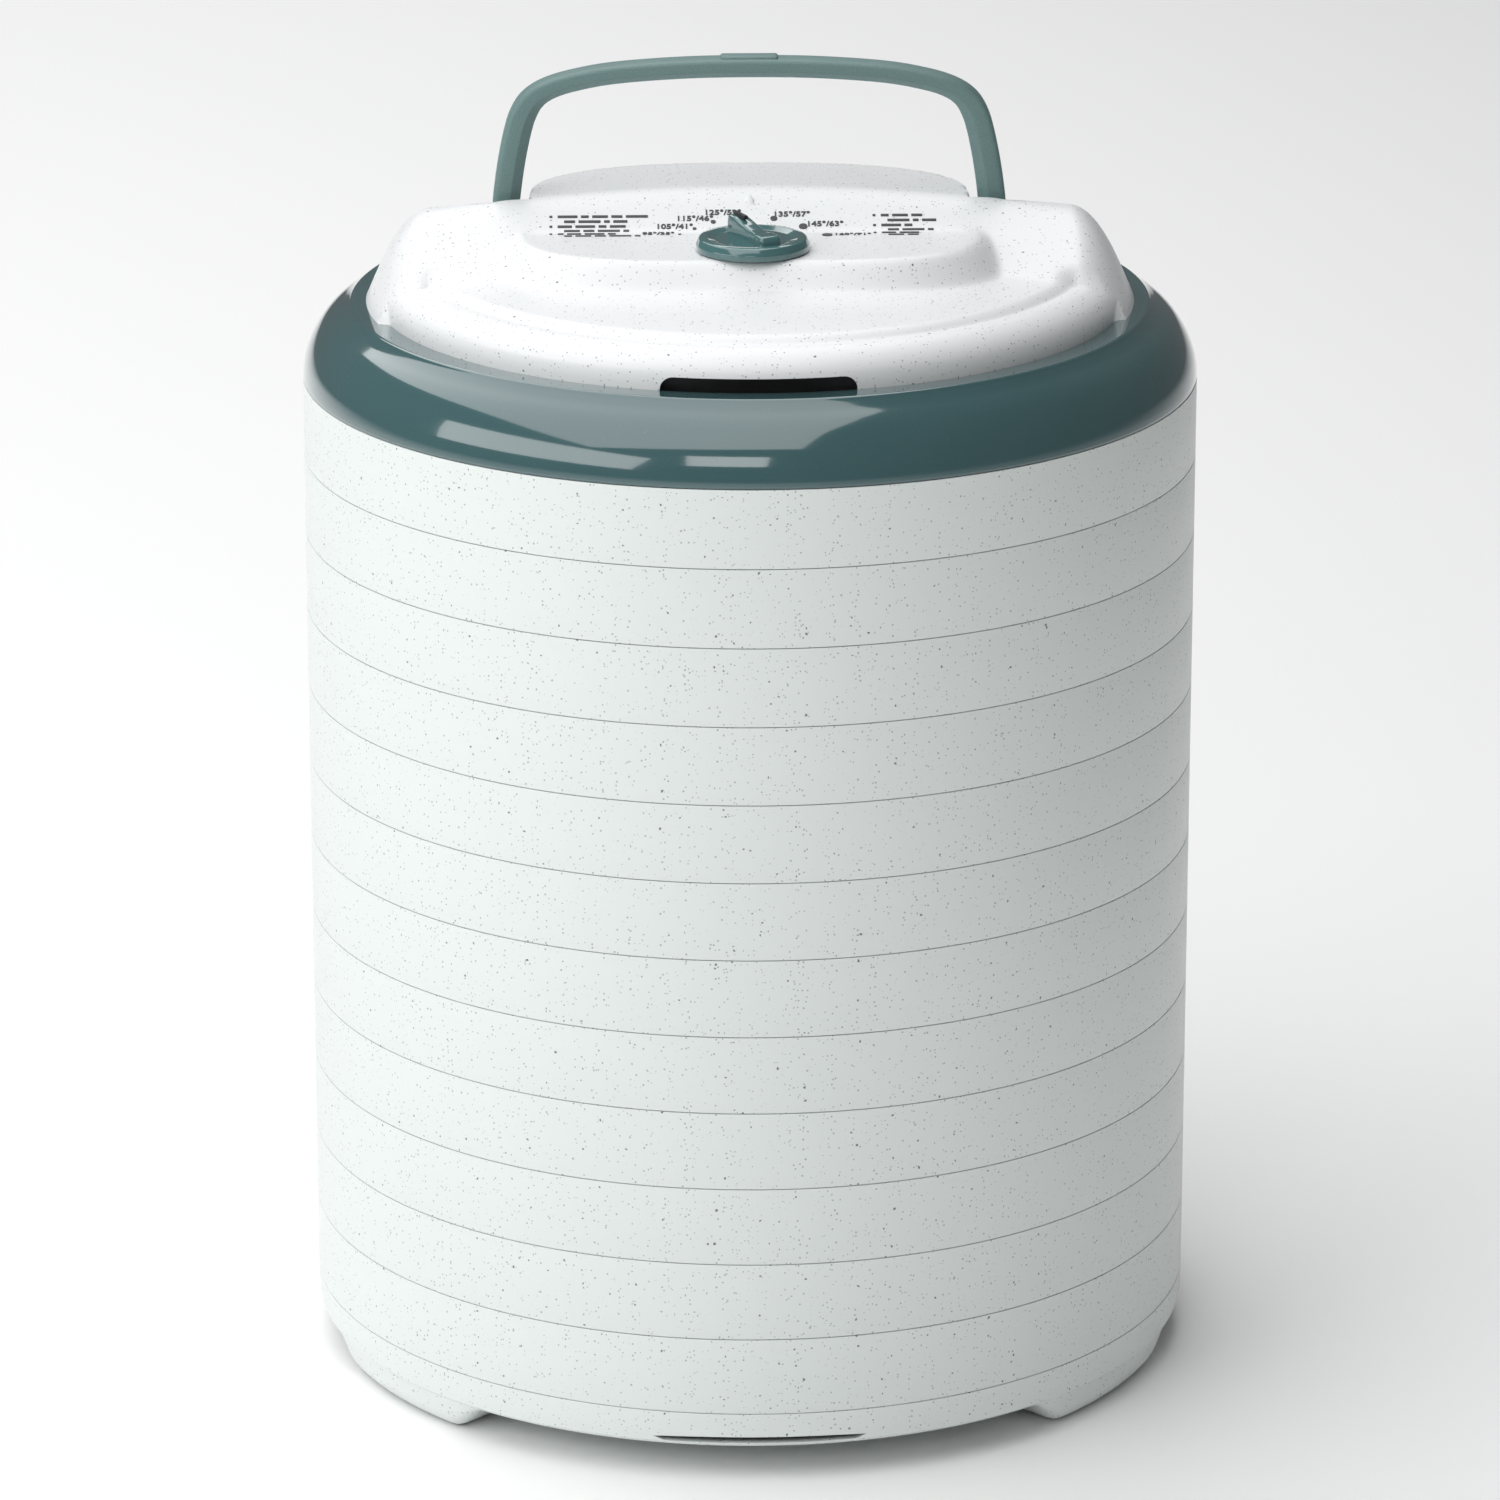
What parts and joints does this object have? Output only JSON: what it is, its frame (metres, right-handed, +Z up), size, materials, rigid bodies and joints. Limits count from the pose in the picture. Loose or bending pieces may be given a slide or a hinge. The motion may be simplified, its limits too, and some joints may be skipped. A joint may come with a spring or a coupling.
{
  "type": "food dehydrator",
  "caption": "Round stacking food dehydrator with nesting vented trays, a lift-off powered lid with fan and heater, a temperature dial and a fold-back bail handle",
  "frame": {"origin": "on the floor, under the centre of the stack", "axes": "+Z up, -Y front (intake slot and dial), +X to the right seen from the front"},
  "size_m": [0.343, 0.343, 0.5094],
  "materials": {
    "speckled_plastic": "white with fine dark specks, semi-gloss",
    "grey_plastic": "polished grey",
    "textured_grey_plastic": "fine matte grain",
    "black_plastic": "satin",
    "steel": "plain rolled",
    "copper_winding": "lacquered winding",
    "mica": "matte sheet",
    "wire_sleeve": "braided sleeve"
  },
  "bodies": {
    "base": {"base_pan": "speckled_plastic"},
    "tray_12": {"tray_12": "speckled_plastic"},
    "tray_11": {"tray_11": "speckled_plastic"},
    "tray_10": {"tray_10": "speckled_plastic"},
    "tray_09": {"tray_09": "speckled_plastic"},
    "tray_08": {"tray_08": "speckled_plastic"},
    "tray_07": {"tray_07": "speckled_plastic"},
    "tray_06": {"tray_06": "speckled_plastic"},
    "tray_05": {"tray_05": "speckled_plastic"},
    "tray_04": {"tray_04": "speckled_plastic"},
    "tray_03": {"tray_03": "speckled_plastic"},
    "tray_02": {"tray_02": "speckled_plastic"},
    "tray_01": {"tray_01": "speckled_plastic"},
    "lid": {"lid_ring": "grey_plastic", "top_cover": "speckled_plastic", "handle_pivot_left": "grey_plastic", "handle_pivot_right": "grey_plastic", "thermostat_body": "black_plastic", "motor_core": "steel", "motor_coil": "copper_winding", "upper_bearing_bracket": "steel", "lower_bearing_bracket": "steel", "motor_plate": "steel", "motor_plate_screw_left": "steel", "motor_plate_screw_right": "steel", "motor_bolt_left": "steel", "motor_bolt_right": "steel", "heater_frame": "mica", "heater_coil": "steel", "thermal_fuse": "steel", "air_guard": "steel", "cord_inlet": "black_plastic", "supply_lead": "wire_sleeve", "motor_lead": "wire_sleeve", "heater_lead": "wire_sleeve", "lid_screw_1": "steel", "lid_screw_2": "steel", "lid_screw_3": "steel", "lid_screw_4": "steel"},
    "handle": {"handle": "textured_grey_plastic"},
    "dial": {"dial_knob": "grey_plastic", "dial_pointer": "black_plastic", "dial_spindle": "steel"},
    "fan": {"motor_rotor": "steel", "fan_blade": "black_plastic"}
  },
  "joints": [
    {"name": "tray_12_lift", "type": "slide", "parent": "base", "child": "tray_12", "axis": [0, 0, 1], "range_m": [0, 0.045]},
    {"name": "tray_11_lift", "type": "slide", "parent": "tray_12", "child": "tray_11", "axis": [0, 0, 1], "range_m": [0, 0.045]},
    {"name": "tray_10_lift", "type": "slide", "parent": "tray_11", "child": "tray_10", "axis": [0, 0, 1], "range_m": [0, 0.045]},
    {"name": "tray_09_lift", "type": "slide", "parent": "tray_10", "child": "tray_09", "axis": [0, 0, 1], "range_m": [0, 0.045]},
    {"name": "tray_08_lift", "type": "slide", "parent": "tray_09", "child": "tray_08", "axis": [0, 0, 1], "range_m": [0, 0.045]},
    {"name": "tray_07_lift", "type": "slide", "parent": "tray_08", "child": "tray_07", "axis": [0, 0, 1], "range_m": [0, 0.045]},
    {"name": "tray_06_lift", "type": "slide", "parent": "tray_07", "child": "tray_06", "axis": [0, 0, 1], "range_m": [0, 0.045]},
    {"name": "tray_05_lift", "type": "slide", "parent": "tray_06", "child": "tray_05", "axis": [0, 0, 1], "range_m": [0, 0.045]},
    {"name": "tray_04_lift", "type": "slide", "parent": "tray_05", "child": "tray_04", "axis": [0, 0, 1], "range_m": [0, 0.045]},
    {"name": "tray_03_lift", "type": "slide", "parent": "tray_04", "child": "tray_03", "axis": [0, 0, 1], "range_m": [0, 0.045]},
    {"name": "tray_02_lift", "type": "slide", "parent": "tray_03", "child": "tray_02", "axis": [0, 0, 1], "range_m": [0, 0.045]},
    {"name": "tray_01_lift", "type": "slide", "parent": "tray_02", "child": "tray_01", "axis": [0, 0, 1], "range_m": [0, 0.045]},
    {"name": "lid_lift", "type": "slide", "parent": "tray_01", "child": "lid", "axis": [0, 0, 1], "range_m": [0, 0.12]},
    {"name": "handle_fold", "type": "hinge", "parent": "lid", "child": "handle", "pos_m": [0, 0.0145, 0.4464], "axis": [-1, 0, 0], "range_deg": [0, 90]},
    {"name": "dial_turn", "type": "hinge", "parent": "lid", "child": "dial", "pos_m": [0, -0.046, 0.4479], "axis": [0, 0, 1], "range_deg": [-112, 60]},
    {"name": "fan_spin", "type": "hinge", "parent": "lid", "child": "fan", "pos_m": [0, 0, 0.4094], "axis": [0, 0, 1], "continuous": true}
  ]
}
